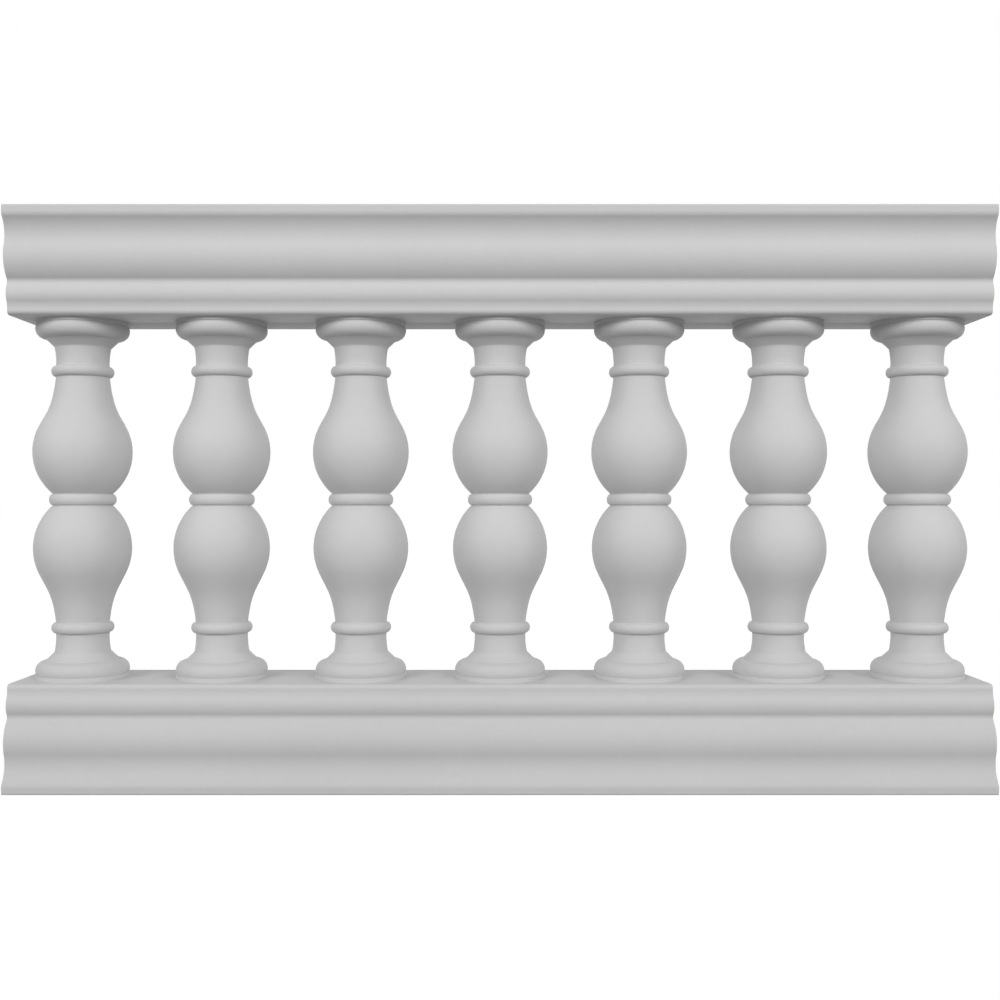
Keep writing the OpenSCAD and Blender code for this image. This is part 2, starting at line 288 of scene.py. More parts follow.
# %% Helpers for node trees
class Finish:
    """A new material, its shader and short ways to add nodes to it."""

    def __init__(self, name):
        self.material = bpy.data.materials.new(name)
        self.material.use_nodes = True
        self.tree = self.material.node_tree
        self.shader = self.tree.nodes["Principled BSDF"]
        self.place = self.add("ShaderNodeTexCoord").outputs["Object"]

    def add(self, kind, **settings):
        node = self.tree.nodes.new(kind)
        for name, value in settings.items():
            setattr(node, name, value)
        return node

    def link(self, source, socket):
        self.tree.links.new(source, socket)

    def stretched(self, scale, turn=(0, 0, 0)):
        """The object's coordinates, turned and stretched."""
        node = self.add("ShaderNodeMapping")
        node.inputs["Scale"].default_value = scale
        node.inputs["Rotation"].default_value = [math.radians(a) for a in turn]
        self.link(self.place, node.inputs["Vector"])
        return node.outputs["Vector"]

    def noise(self, size, detail=2.0, where=None):
        """Cloudy noise from 0 to 1, with features of about this size in metres."""
        node = self.add("ShaderNodeTexNoise")
        node.inputs["Scale"].default_value = 1 / size
        node.inputs["Detail"].default_value = detail
        self.link(where or self.place, node.inputs["Vector"])
        return node.outputs["Factor" if "Factor" in node.outputs else "Fac"]

    def spread(self, value, low, high, start=0.3, end=0.7):
        """Maps a value that runs from start to end onto low to high."""
        node = self.add("ShaderNodeMapRange")
        self.link(value, node.inputs["Value"])
        limits = {"From Min": start, "From Max": end, "To Min": low, "To Max": high}
        for name, number in limits.items():
            node.inputs[name].default_value = number
        return node.outputs["Result"]

    def maths(self, operation, a, b):
        node = self.add("ShaderNodeMath", operation=operation)
        for socket, value in zip(node.inputs, (a, b)):
            if isinstance(value, (int, float)):
                socket.default_value = value
            else:
                self.link(value, socket)
        return node.outputs[0]

    def mix(self, share, first, second):
        """A colour between two colours, or between two colour outputs."""
        node = self.add("ShaderNodeMix", data_type="RGBA")
        self.link(share, node.inputs["Factor"])
        for socket, value in ((node.inputs[6], first), (node.inputs[7], second)):
            if isinstance(value, tuple):
                socket.default_value = (*value, 1)
            else:
                self.link(value, socket)
        return node.outputs[2]

    def bumps(self, *layers):
        """Stacks (height, depth in metres) layers into the shader's normal."""
        last = None
        for height, depth in layers:
            node = self.add("ShaderNodeBump")
            node.inputs["Distance"].default_value = depth
            self.link(height, node.inputs["Height"])
            if last:
                self.link(last, node.inputs["Normal"])
            last = node.outputs["Normal"]
        self.link(last, self.shader.inputs["Normal"])


# %% [markdown]
# ## Gelcoat
# What shows of a fibreglass moulding is its gelcoat: half a millimetre of grey pigmented resin
# that copies the polished mould. It is matt rather than glossy, and even, but not
# perfectly: the pigment drifts a little, the skin has a fine orange peel, and the laminate
# behind it pulls it into very long, very shallow waves. One flat colour would lose all that,
# so each of the three is a layer of noise at its own size.

# %% The grey gelcoat
GELCOAT_GREY = 0.605
PIGMENT_DRIFT = 0.010
PIGMENT_CLOUD = 0.006
ORANGE_PEEL = 0.03 * MM
SHALLOW_WAVES = 0.6 * MM
GELCOAT_ROUGHNESS = (0.52, 0.62)
GELCOAT_SHINE = 0.18


def make_gelcoat():
    """A grey that drifts a little, with a fine and a very coarse bump."""
    finish = Finish("grey_gelcoat")
    drift = finish.noise(0.22, 3)
    cloud = finish.noise(0.012, 4)
    shift = finish.maths("ADD", finish.spread(drift, -PIGMENT_DRIFT, PIGMENT_DRIFT),
                         finish.spread(cloud, -PIGMENT_CLOUD, PIGMENT_CLOUD))
    # A mix of two greys that lie 1 apart moves by just the shift.
    share = finish.maths("ADD", shift, 0.5)
    dark = (GELCOAT_GREY - 0.5,) * 3
    light = (GELCOAT_GREY + 0.5,) * 3
    finish.link(finish.mix(share, dark, light), finish.shader.inputs["Base Color"])
    finish.link(finish.spread(cloud, *GELCOAT_ROUGHNESS), finish.shader.inputs["Roughness"])
    finish.shader.inputs["Specular IOR Level"].default_value = GELCOAT_SHINE
    finish.bumps((finish.noise(0.0025, 2), ORANGE_PEEL), (finish.noise(0.11, 1), SHALLOW_WAVES))
    return finish.material


gelcoat = make_gelcoat()

# %% [markdown]
# ## Raw laminate
# Nobody gelcoats the inside of a hollow rail. There the chopped strands of glass lie as they
# were rolled down, 50 mm long and in every direction, under a straw-coloured skin of resin
# that stays shiny. Drawing each strand as a mesh would be wasteful. Noise that is
# stretched thirty to one reads as strands, and three sheets of it, turned against each
# other, read as a mat.

# %% The inside of the mouldings
RESIN_DARK = (0.42, 0.41, 0.33)
RESIN_LIGHT = (0.54, 0.53, 0.45)
GLASS_STRAND = (0.66, 0.66, 0.60)
MAT_TURNS = ((0, 20, 35), (35, 0, 95), (0, 70, 155))
STRAND_LENGTH = 50 * MM
STRAND_STRETCH = 30
RESIN_ROUGHNESS = (0.28, 0.5)
STRAND_RELIEF = 0.4 * MM
RESIN_RELIEF = 2 * MM


def strands(finish, turn):
    """Thin streaks from 0 to 1 in one direction."""
    along = finish.stretched((1, STRAND_STRETCH, STRAND_STRETCH), turn)
    return finish.spread(finish.noise(STRAND_LENGTH, 2, along), 0, 1, 0.52, 0.66)


def make_laminate():
    """Chopped glass strands under a shiny skin of resin."""
    finish = Finish("raw_laminate")
    sheets = [strands(finish, turn) for turn in MAT_TURNS]
    mat = finish.maths("MAXIMUM", finish.maths("MAXIMUM", sheets[0], sheets[1]), sheets[2])
    resin = finish.mix(finish.spread(finish.noise(0.04, 3), 0, 1), RESIN_DARK, RESIN_LIGHT)
    colour = finish.mix(finish.maths("MULTIPLY", mat, 0.7), resin, GLASS_STRAND)
    finish.link(colour, finish.shader.inputs["Base Color"])
    finish.link(finish.spread(mat, *RESIN_ROUGHNESS, 0, 1), finish.shader.inputs["Roughness"])
    finish.bumps((mat, STRAND_RELIEF), (finish.noise(0.03, 3), RESIN_RELIEF))
    return finish.material


laminate = make_laminate()

# %% [markdown]
# ## A sawn edge
# At the rail's ends the saw has gone through the wall. The cut shows the grey gelcoat as a
# thin rim and then the plies of the laminate, one behind the other. The plies follow the wall
# round every curve of the moulding, so no flat texture would fit. Instead each vertex
# carries how deep it lies in the wall, from 0 at the gelcoat to 1 at the inside, and the
# material turns that depth into stripes.

# %% Stripes by depth in the wall
PLIES = 5
PLY_DARK = (0.46, 0.45, 0.37)
PLY_LIGHT = (0.64, 0.63, 0.56)
CUT_FIBRE = (0.70, 0.70, 0.63)
GELCOAT_RIM = (0.10, 0.14)
PLY_WANDER = 0.03
SAW_RELIEF = 0.1 * MM


def make_cut_edge():
    """The gelcoat as a rim, then pale and straw-coloured plies, and a fuzz of cut fibres."""
    finish = Finish("sawn_laminate")
    depth = finish.add("ShaderNodeAttribute", attribute_name="depth").outputs["Fac"]
    wander = finish.spread(finish.noise(0.006, 3), -PLY_WANDER, PLY_WANDER)
    depth = finish.maths("ADD", depth, wander)
    wave = finish.maths("SINE", finish.maths("MULTIPLY", depth, 2 * math.pi * PLIES), 0)
    plies = finish.spread(wave, 0, 1, -1, 1)
    glass = finish.mix(plies, PLY_DARK, PLY_LIGHT)
    fuzz = finish.spread(finish.noise(0.0012, 2), 0, 1)
    glass = finish.mix(finish.maths("MULTIPLY", fuzz, 0.35), glass, CUT_FIBRE)
    rim = finish.spread(depth, 1, 0, *GELCOAT_RIM)
    grey = (GELCOAT_GREY,) * 3
    finish.link(finish.mix(rim, glass, grey), finish.shader.inputs["Base Color"])
    finish.shader.inputs["Roughness"].default_value = 0.75
    finish.bumps((plies, SAW_RELIEF), (fuzz, SAW_RELIEF))
    return finish.material


cut_edge = make_cut_edge()

# %% [markdown]
# ## Galvanised steel
# The skeleton is hot-dip galvanised. Zinc freezes in flat crystals, the spangle, each of which
# catches the light in its own way. Voronoi cells are the natural pattern for it: the random
# colour of a cell sets how bright and how rough that crystal is.

# %% Zinc spangle
SPANGLE = 7 * MM
CRYSTAL_DARK = (0.46, 0.48, 0.50)
CRYSTAL_LIGHT = (0.66, 0.68, 0.70)
DULL_ZINC = (0.42, 0.43, 0.44)
CRYSTAL_ROUGHNESS = (0.30, 0.48)
DULL_ROUGHNESS = 0.12
CRYSTAL_RELIEF = 0.02 * MM
ZINC_RELIEF = 0.05 * MM


def make_zinc():
    """Flat crystals of zinc, each with its own brightness, gloss and tilt, and dull patches."""
    finish = Finish("galvanised_steel")
    cells = finish.add("ShaderNodeTexVoronoi")
    cells.inputs["Scale"].default_value = 1 / SPANGLE
    finish.link(finish.place, cells.inputs["Vector"])
    crystal = finish.add("ShaderNodeSeparateColor")
    finish.link(cells.outputs["Color"], crystal.inputs["Color"])
    dull = finish.noise(0.03, 4)
    colour = finish.mix(crystal.outputs[0], CRYSTAL_DARK, CRYSTAL_LIGHT)
    colour = finish.mix(finish.spread(dull, 0, 0.5), colour, DULL_ZINC)
    finish.link(colour, finish.shader.inputs["Base Color"])
    rough = finish.maths("ADD", finish.spread(crystal.outputs[1], *CRYSTAL_ROUGHNESS, 0, 1),
                         finish.spread(dull, 0, DULL_ROUGHNESS))
    finish.link(rough, finish.shader.inputs["Roughness"])
    finish.shader.inputs["Metallic"].default_value = 0.9
    finish.bumps((crystal.outputs[2], CRYSTAL_RELIEF), (finish.noise(0.004, 3), ZINC_RELIEF))
    return finish.material


zinc = make_zinc()
print("materials:", ", ".join(m.name for m in (gelcoat, laminate, cut_edge, zinc)))

# %% [markdown]
# ## The two rails
# A rail comes out of its mould as a shell, open on its narrow side, and is sawn to length. The
# section is skinned along X. At each end the last millimetre is drawn in a little, because a
# sawn edge is always sanded, and a dead sharp edge is what gives a computer model away. The
# end itself is a strip of quads from the outside of the wall to the inside.

# %% Skin a rail shell
END_EASE = 0.8 * MM
EASE_STEPS = 3


def eased_ends(length):
    """Places along a bar, with how far its surface is drawn in there."""
    angles = np.radians(np.linspace(0, 90, EASE_STEPS + 1))
    places = [(END_EASE * (1 - math.cos(a)) - length / 2, END_EASE * (1 - math.sin(a)))
              for a in angles]
    return places + [(-x, ease) for x, ease in reversed(places)]


def rail_shell(name, to_height):
    """A hollow rail. to_height turns a height above the narrow face into a level."""
    rings = []
    for x, ease in eased_ends(rail_length):
        outside, inside = shell_lines(ease)
        ring = np.vstack([outside, inside[::-1]])
        rings.append([(x, u, to_height(v)) for u, v in ring])
    vertices, quads = skin(rings, close_rings=False)
    points, around = len(outer_line), len(rings[0])
    first = np.arange(points - 1)
    cap = np.stack([first, first + 1, around - 2 - first, around - 1 - first], axis=-1)
    last = len(vertices) - around
    faces = np.vstack([quads, cap[:, ::-1], cap + last])
    mesh = mesh_from(name, vertices, faces)
    outward = np.arange(around) < points
    depth = np.tile(np.where(outward, 0.0, 1.0), len(rings))
    mesh.attributes.new("depth", "FLOAT", "POINT").data.foreach_set("value", depth)
    side = np.arange(len(quads)) % around
    surface = np.where(side < points - 1, 0, 1)
    surface = np.concatenate([surface, np.full(2 * len(cap), 2)])
    mesh.polygons.foreach_set("material_index", surface.astype(np.int32))
    return mesh


# %% Place both rails
def above(v):
    """The level of a point of the top rail, which stands on its narrow face."""
    return under_side + v


def below(v):
    """The level of a point of the bottom rail, which hangs from its narrow face."""
    return deck_level - v


moulded = (gelcoat, laminate, cut_edge)
place("top_rail_shell", rail_shell("top_rail_shell", above),
      "top_rail", "gelcoat", *moulded)
place("bottom_rail_shell", rail_shell("bottom_rail_shell", below),
      "bottom_rail", "gelcoat", *moulded)

# %% [markdown]
# ## Flat plates with holes
# A long plate closes the narrow side of each rail, and the balusters bear on it. Smaller
# steel plates stand at the rail ends. Both are flat stock with holes and eased
# edges. A boolean could cut the holes, but it leaves untidy faces, and a bevel on top of it
# often fails. Here the edges are skinned as rings first, and then one fill closes each face
# around its holes.

# %% A plate from its outline and its holes
PLATE_EASE = 0.5 * MM


def circle(centre, radius, count=40):
    """Points around a whole circle."""
    angles = np.arange(count) * 2 * math.pi / count
    return np.array(centre) + radius * np.column_stack([np.cos(angles), np.sin(angles)])


def hole_line(centre, radius):
    """A round hole, as a function of how far its edge is eased."""
    return lambda ease: circle(centre, radius + ease)


def plate(name, lines, thick):
    """A plate between w = 0 and w = thick. Each line is a function of how far its edge is eased."""
    angles = np.radians(np.linspace(0, 90, EASE_STEPS + 1))
    levels = [(PLATE_EASE * (1 - math.cos(a)), PLATE_EASE * (1 - math.sin(a))) for a in angles]
    levels += [(thick - w, ease) for w, ease in reversed(levels)]
    shape = bmesh.new()
    ends = ([], [])
    for line in lines:
        rings = [[(u, v, w) for u, v in line(ease)] for w, ease in levels]
        vertices, quads = skin(rings, close_rings=False)
        made = [shape.verts.new(v) for v in vertices]
        for quad in quads:
            shape.faces.new([made[i] for i in quad])
        around = len(rings[0])
        for edges, start in zip(ends, (0, len(made) - around)):
            ring = made[start:start + around]
            edges += [shape.edges.get((a, b)) for a, b in zip(ring, ring[1:] + ring[:1])]
    for edges in ends:
        bmesh.ops.triangle_fill(shape, edges=edges, use_beauty=True)
    bmesh.ops.recalc_face_normals(shape, faces=shape.faces)
    mesh = bpy.data.meshes.new(name)
    shape.to_mesh(mesh)
    shape.free()
    return mesh


# %% [markdown]
# ## The soffit and the deck
# The plate under the top rail is its soffit, and the one on the bottom rail is its deck. Each is
# a laminate panel with gelcoat on the side that shows, bonded into the shell beside a
# narrow landing. Seen from the end, its plies run flat, so the depth is simply its height.

# %% The closing plates
ROD_GAP = 0.5 * MM
FACES_END = 0.9
rod_low, rod_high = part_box("tie_rod_1")
rod_radius = (rod_high.x - rod_low.x) / 2
rod_hole = rod_radius + ROD_GAP


def panel_outline(ease):
    """The rectangle of the closing plate."""
    end = rail_length / 2 - ease
    side = plate_half - ease
    return np.array([(-end, -side), (end, -side), (end, side), (-end, side)])


def mesh_normals_out(mesh):
    """Turns every face outwards again after a mirror."""
    shape = bmesh.new()
    shape.from_mesh(mesh)
    bmesh.ops.recalc_face_normals(shape, faces=shape.faces)
    shape.to_mesh(mesh)
    shape.free()


def closing_plate(name, to_height):
    """The panel that closes a rail. w is the height above the narrow face."""
    holes = [hole_line((x, 0), rod_hole) for x in stations]
    mesh = plate(name, [panel_outline, *holes], plate_thick)
    for vertex in mesh.vertices:
        vertex.co.z = to_height(vertex.co.z)
    mesh_normals_out(mesh)
    outer_face = to_height(0)
    levels = np.array([v.co.z for v in mesh.vertices])
    depth = np.abs(levels - outer_face) / plate_thick
    mesh.attributes.new("depth", "FLOAT", "POINT").data.foreach_set("value", depth)
    for face in mesh.polygons:
        at_end = abs(face.center.x) > rail_length / 2 - PLATE_EASE
        if at_end and abs(face.normal.x) > FACES_END:
            face.material_index = 2
        elif abs(face.center.z - outer_face) > plate_thick / 2:
            face.material_index = 1
    return mesh


place("top_rail_soffit_panel", closing_plate("top_rail_soffit_panel", above),
      "top_rail_soffit", "gelcoat", *moulded)
place("bottom_rail_deck_panel", closing_plate("bottom_rail_deck_panel", below),
      "bottom_rail_deck", "gelcoat", *moulded)

# %% [markdown]
# ## The turned profile
# The pattern for a baluster was turned on a lathe: two bellies that meet at a ring, shoulders
# that thin to a shaft, a small ring at each end of it, a flared neck, and a cap with a
# rounded edge. Half of it is drawn from the middle outwards, and the other half is nearly its
# mirror image: the two bellies differ a little in width and in the slope of the shoulder.

# %% Sizes of the turning
# The level of the middle ring is 0. A belly's two lean values say how far the handles of the
# shoulder's curve reach, as shares of its rise.
ring_radius = 103.8 * MM / 2
ring_height = 18 * MM
crease_radius = 91.6 * MM / 2
astragal_radius = 96.8 * MM / 2
astragal_height = 17 * MM
astragal_level = half - 80.25 * MM
shaft_radius = 82.4 * MM / 2
neck_radius = 81.7 * MM / 2
neck_level = half - 66.75 * MM
flare_radius = 130 * MM
cap_radius = 145 * MM / 2
torus_radius = 15.5 * MM
torus_level = half - 12.75 * MM
disc_height = 5.75 * MM
slope_foot_radius = 86.6 * MM / 2
belly_end = 25
shaft_lean = np.array((-0.11, 0.994))
TORUS_STEP = 0.5 * MM
SHOULDER_POINTS = 28
RING_POINTS = 24
UPPER = {"radius": 153.6 * MM / 2, "level": 76.5 * MM, "belly_lean": 0.29, "shaft_lean": 0.66}
LOWER = {"radius": 152 * MM / 2, "level": 78 * MM, "belly_lean": 0.39, "shaft_lean": 0.56}


# %% The parts of the turning, one function each
def bezier(a, b, c, d, count):
    """Points on a cubic curve with ends a and d and handles b and c."""
    t = np.linspace(0, 1, count + 1)[:, None]
    return (1 - t) ** 3 * a + 3 * (1 - t) ** 2 * t * b + 3 * (1 - t) * t * t * c + t ** 3 * d


def half_ring(root, tip, level, height):
    """A ring of half-round section that stands out from root to tip."""
    angles = np.radians(np.linspace(0, 180, RING_POINTS + 1))
    return np.column_stack([root + (tip - root) * np.sin(angles),
                            level - height / 2 * np.cos(angles)])


def belly_arc(shape):
    """The round of a belly, from the crease beside the middle ring to where the shoulder starts."""
    bulge = shape["radius"] - crease_radius
    rise = shape["level"] - ring_height / 2
    radius = (rise ** 2 + bulge ** 2) / (2 * bulge)
    centre = (shape["radius"] - radius, shape["level"])
    start = -math.degrees(math.asin(rise / radius))
    return chain(arc(centre, radius, start, 0), arc(centre, radius, 0, belly_end))


def shoulder(shape, start):
    """The long curve from the belly to the shaft."""
    top = np.array((shaft_radius, astragal_level - astragal_height / 2))
    rise = top[1] - start[1]
    turn = math.radians(belly_end)
    belly_way = np.array((-math.sin(turn), math.cos(turn)))
    return bezier(start, start + shape["belly_lean"] * rise * belly_way,
                  top - shape["shaft_lean"] * rise * shaft_lean, top, SHOULDER_POINTS)


def neck_and_cap():
    """The flared neck, the sloping underside of the cap, its rounded edge and the flat disc."""
    torus_u = cap_radius - torus_radius
    slope_top = np.array((torus_u - TORUS_STEP, torus_level - torus_radius))
    foot_level = slope_top[1] - (slope_top[0] - slope_foot_radius)
    flare = math.degrees(math.asin((foot_level - neck_level) / flare_radius))
    neck = arc((neck_radius + flare_radius, neck_level), flare_radius, 180, 180 - flare)
    disc = math.degrees(math.asin((half - disc_height - torus_level) / torus_radius))
    return chain(neck, [(slope_foot_radius, foot_level)],
                 arc((torus_u, torus_level), torus_radius, -90, disc),
                 [(cap_radius, half - disc_height), (cap_radius, half)])


# %% Half a baluster
def turned_half(shape):
    """The outside from the crease beside the middle ring up to the rail."""
    belly = belly_arc(shape)
    return chain(belly, shoulder(shape, belly[-1]),
                 half_ring(shaft_radius, astragal_radius, astragal_level, astragal_height),
                 neck_and_cap())


upper_half = turned_half(UPPER)
lower_half = turned_half(LOWER)
print(f"turned profile: {len(upper_half)} + {len(lower_half)} points")

# %% [markdown]
# ## Easing the corners
# Resin can't flow into a dead sharp corner of a mould, so every crease of the casting has
# a small radius. A Bevel modifier would do it on the finished mesh at the cost of many more
# faces. It is simpler to round the corners of the profile before it is turned: a bit of
# line on each side of a corner gives way to a short curve.

# %% Round every sharp corner of a line
CORNER = 20
TINY = 1e-6


def at_length(points, lengths, where):
    """The point that lies this far along a line."""
    return np.array([np.interp(where, lengths, points[:, axis]) for axis in (0, 1)])


def ease_corners(points, reach, steps=3):
    """Replaces each corner of more than CORNER degrees with a curve that starts reach before it."""
    runs = np.diff(points, axis=0)
    lengths = np.concatenate([[0], np.cumsum(np.linalg.norm(runs, axis=1))])
    angles = np.degrees(np.unwrap(np.arctan2(runs[:, 1], runs[:, 0])))
    corners = [i + 1 for i in range(len(angles) - 1) if abs(angles[i + 1] - angles[i]) > CORNER]
    eased, done = [], 0
    for corner in corners:
        start, end = lengths[corner] - reach, lengths[corner] + reach
        eased += [p for p, s in zip(points[done:], lengths[done:]) if s < start - TINY]
        a, b, c = at_length(points, lengths, start), points[corner], at_length(points, lengths, end)
        eased += [(1 - t) ** 2 * a + 2 * t * (1 - t) * b + t * t * c
                  for t in np.linspace(0, 1, steps + 2)]
        done = int(np.searchsorted(lengths, end + TINY))
    return np.vstack([*eased, points[done:]])


# %% [markdown]
# ## The balusters
# A baluster is a hollow casting, closed at both ends, with one hole through for the rod that
# clamps it. The whole section is turned into a mesh in one go: up the outside, through the end
# and down the hollow. Seven copies stand between the rails, each turned by a different
# angle, because nobody lines them up when they are bolted in.

# %% The closed section of a baluster
wall_turned = 5 * MM
end_thick = 8 * MM
CREASE_REACH = 0.9 * MM
HOLLOW_STEP = 6
NECK_FLARE = 3 * MM
FOOT_RISE = 2 * MM
RIM_WALLS = 1.3


def inward(points, distance):
    """A line moved to its left by a distance, thinned out, since nobody sees the hollow."""
    way = np.gradient(points, axis=0)
    way /= np.linalg.norm(way, axis=1)[:, None]
    moved = points + distance * np.column_stack([-way[:, 1], way[:, 0]])
    return moved[::HOLLOW_STEP]


def hollow_half(shape):
    """The hollow behind half a baluster, from the middle up to the closed end."""
    waist = crease_radius - wall_turned
    belly = belly_arc(shape)
    bulb = inward(chain(belly, shoulder(shape, belly[-1])), wall_turned)
    bulb = bulb[(bulb[:, 1] > ring_height / 2) & (bulb[:, 0] > waist)]
    neck = neck_radius - wall_turned
    foot = neck + NECK_FLARE
    rim = cap_radius - RIM_WALLS * wall_turned
    torus_foot = torus_level - torus_radius
    foot_level = torus_foot - (cap_radius - torus_radius - slope_foot_radius) + FOOT_RISE
    cap = [(neck, neck_level), (foot, foot_level), (rim, foot_level + rim - foot),
           (rim, half - end_thick)]
    return np.vstack([[(waist, 0)], bulb, cap])


def baluster_section():
    """The closed line round the wall of a baluster, as (radius, height from its middle)."""
    flip = (1, -1)
    middle_ring = half_ring(crease_radius, ring_radius, 0, ring_height)
    outside = chain((lower_half * flip)[::-1], middle_ring, upper_half)
    outside = ease_corners(outside, CREASE_REACH)
    return np.vstack([
        [(rod_hole, -half)], outside, [(rod_hole, half), (rod_hole, half - end_thick)],
        hollow_half(UPPER)[::-1], (hollow_half(LOWER) * flip)[1:], [(rod_hole, end_thick - half)],
    ])


# %% Turn it on the lathe
AROUND = 128


def lathe(name, section, around=AROUND):
    """Turns a closed section about the Z axis."""
    angles = np.arange(around) * 2 * math.pi / around
    rings = [[(u * math.cos(a), u * math.sin(a), w) for u, w in section] for a in angles]
    return mesh_from(name, *skin(rings))


casting = lathe("baluster_casting", baluster_section())
GOLDEN_ANGLE = math.radians(137.5)
for i, x in enumerate(stations):
    copy = casting.copy()
    copy.transform(Matrix.Translation((x, 0, middle)) @ Matrix.Rotation(i * GOLDEN_ANGLE, 4, "Z"))
    place(f"turned_baluster_{i + 1}", copy, f"baluster_{i + 1}", "gelcoat", gelcoat)

# %% [markdown]
# ## Threaded rods
# A length of threaded rod runs through each baluster. Only its ends, beyond the closing plates,
# can be seen from a rail's open end. There it gets a true thread: the radius of
# each ring of points depends on the angle and the height together, which makes a helix. The
# stretch inside the baluster stays a plain bar, since no light ever reaches it.

# %% A helical thread
PITCH = 1.75 * MM
THREAD_DEPTH = 0.95 * MM
THREAD_STEPS = 6
ROD_AROUND = 28
THREAD_RUN_IN = 2 * MM


def thread_ring(radius, level, around, pitch, depth):
    """A ring of a V thread: the crest climbs by one pitch in each turn."""
    angles = np.arange(around) * 2 * math.pi / around
    phase = (level / pitch - angles / (2 * math.pi)) % 1
    radii = radius - depth * (1 - np.abs(2 * phase - 1))
    return radii, angles


def to_points(radii, angles, level):
    """A ring of points at one level from radii and angles."""
    return np.column_stack([radii * np.cos(angles), radii * np.sin(angles),
                            np.full(len(angles), level)])


def rod_mesh(name, length, threaded):
    """A rod about the Z axis, centred, with a thread on this much of each end."""
    step = PITCH / THREAD_STEPS
    levels = np.arange(length / 2 - threaded, length / 2, step)
    levels = np.concatenate([-levels[::-1], levels])
    rings = []
    for level in [-length / 2, *levels, length / 2]:
        radii, angles = thread_ring(rod_radius, level, ROD_AROUND, PITCH, THREAD_DEPTH)
        radii = np.minimum(radii, rod_radius - THREAD_DEPTH + (length / 2 - abs(level)))
        rings.append(to_points(radii, angles, level))
    vertices, quads = skin(rings, close_rings=False)
    caps = [list(range(ROD_AROUND)), list(range(len(vertices) - ROD_AROUND, len(vertices)))]
    return mesh_from(name, vertices, [*quads.tolist(), *caps])


rod_length = rod_high.z - rod_low.z
thread_length = (rod_length - clear_height) / 2 + THREAD_RUN_IN
rod_blank = rod_mesh("threaded_rod", rod_length, thread_length)
for i, x in enumerate(stations):
    copy = rod_blank.copy()
    copy.transform(Matrix.Translation((x, 0, middle)))
    place(f"threaded_rod_{i + 1}", copy, f"tie_rod_{i + 1}", "zinc_steel", zinc)

# %% [markdown]
# ## Nuts and washers
# A hexagon nut isn't a six-sided prism. It is turned from hexagon bar, and the chamfer at each
# face cuts the six corners back in curved facets. Rings of points give that shape directly: the
# outline of the hexagon, dropped wherever it lies outside the chamfer's cone.

# %% A hexagon nut
NUT_AROUND = 48
NUT_FLATS = 1.58
NUT_FACE = 0.95
NUT_MOUTH = 0.6 * MM
CHAMFER = math.tan(math.radians(30))


def nut_mesh(name, flats, height, bore, thread=0):
    """A nut about the Z axis that stands on z = 0. thread is the depth of a thread in its bore."""
    angles = np.arange(NUT_AROUND) * 2 * math.pi / NUT_AROUND
    hexagon = flats / 2 / np.cos((angles % (math.pi / 3)) - math.pi / 6)
    face = np.full(NUT_AROUND, NUT_FACE * flats / 2)
    drop = np.maximum(0, hexagon - face) * CHAMFER
    mouth = np.full(NUT_AROUND, bore + NUT_MOUTH)
    rings = [to_points(mouth, angles, 0), to_points(face, angles, 0)]
    rings += [np.column_stack([hexagon * np.cos(angles), hexagon * np.sin(angles), level])
              for level in (drop, height - drop)]
    rings += [to_points(face, angles, height), to_points(mouth, angles, height)]
    count = int(height / PITCH * THREAD_STEPS) if thread else 2
    for level in np.linspace(height - NUT_MOUTH, NUT_MOUTH, count):
        radii, _ = thread_ring(bore, level, NUT_AROUND, PITCH, thread)
        rings.append(to_points(radii, angles, level))
    return mesh_from(name, *skin(rings))


def joined(name, blank, matrices):
    """One mesh of several copies of another."""
    shape = bmesh.new()
    for matrix in matrices:
        copy = blank.copy()
        copy.transform(matrix)
        shape.from_mesh(copy)
        bpy.data.meshes.remove(copy)
    bmesh.ops.recalc_face_normals(shape, faces=shape.faces)
    mesh = bpy.data.meshes.new(name)
    shape.to_mesh(mesh)
    shape.free()
    return mesh


# %% Nuts in both rails
for rail in ("top", "bottom"):
    low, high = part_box(f"{rail}_nuts")
    height = high.z - low.z
    nut = nut_mesh("nut", NUT_FLATS * 2 * rod_radius, height, rod_radius)
    places = [Matrix.Translation((x, 0, low.z)) @ Matrix.Rotation(i * GOLDEN_ANGLE, 4, "Z")
              for i, x in enumerate(stations)]
    place(f"{rail}_hexagon_nuts", joined(f"{rail}_hexagon_nuts", nut, places),
          f"{rail}_nuts", "zinc_steel", zinc)

# %% Washers in both rails
WASHER_EASE = 0.35 * MM
WASHER_AROUND = 64


def washer_mesh(name, outer, bore, height):
    """A plain washer with eased edges, as punched from sheet."""
    rim = [(outer - WASHER_EASE, 0), (outer, WASHER_EASE), (outer, height - WASHER_EASE),
           (outer - WASHER_EASE, height)]
    return lathe(name, [(bore, 0), *rim, (bore, height)], WASHER_AROUND)


for rail in ("top", "bottom"):
    low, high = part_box(f"{rail}_washers")
    washer = washer_mesh("washer", (high.y - low.y) / 2, rod_hole, high.z - low.z)
    places = [Matrix.Translation((x, 0, low.z)) for x in stations]
    place(f"{rail}_plain_washers", joined(f"{rail}_plain_washers", washer, places),
          f"{rail}_washers", "zinc_steel", zinc)

# %% [markdown]
# ## End plates
# A steel plate at each rail end takes four bolts from the post. Nobody can reach inside the
# rail once it is closed, so a nut is welded behind every hole. The plate is the same flat
# stock as before, this time drawn upright, and the nuts have a thread that shows
# through the holes.

